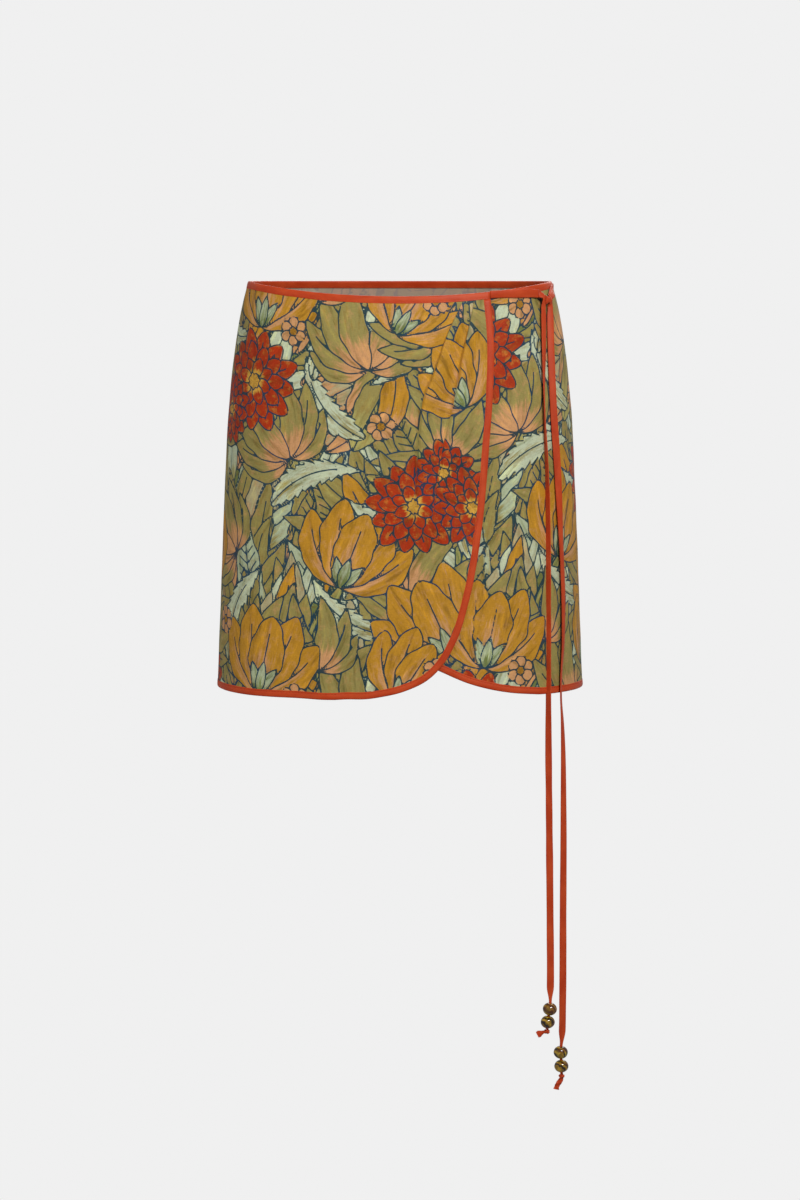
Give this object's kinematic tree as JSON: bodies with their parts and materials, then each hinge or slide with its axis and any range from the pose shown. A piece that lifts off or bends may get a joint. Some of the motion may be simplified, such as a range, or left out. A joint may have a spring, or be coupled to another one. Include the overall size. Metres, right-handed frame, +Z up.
{
  "type": "wrap skirt",
  "caption": "Short printed wrap skirt, hollow as worn, with a curved overlapping front, contrast bound edges, and a side tie whose beaded ends hang free.",
  "frame": {"origin": "centre of the waist opening, level with the top of the back waist, where the wearer holds the skirt", "axes": "+Z up out of the waist, -Y the front of the skirt, +X the side where the ties are knotted"},
  "size_m": [0.3638, 0.2512, 0.7946],
  "materials": {
    "printed_cloth": "light twill with a large floral print in olive, ochre, rust and sage",
    "binding": "folded bias strip, rust red, soft satin sheen",
    "bead": "polished brown stone with golden bands"
  },
  "bodies": {
    "root": {"front_upper": "printed_cloth", "front_lower": "printed_cloth", "back": "printed_cloth", "waist_binding_upper": "binding", "waist_binding_lower": "binding", "waist_binding_back": "binding", "edge_binding_upper": "binding", "edge_binding_lower": "binding", "hem_binding_back": "binding", "waist_tie": "binding", "seam_tie": "binding", "tie_knot": "binding", "front_tie": "binding", "front_tie_upper_bead": "bead", "front_tie_lower_bead": "bead", "front_tie_end_knot": "binding", "front_tie_tail": "binding", "side_tie": "binding", "side_tie_upper_bead": "bead", "side_tie_lower_bead": "bead", "side_tie_end_knot": "binding", "side_tie_tail": "binding"}
  },
  "joints": []
}
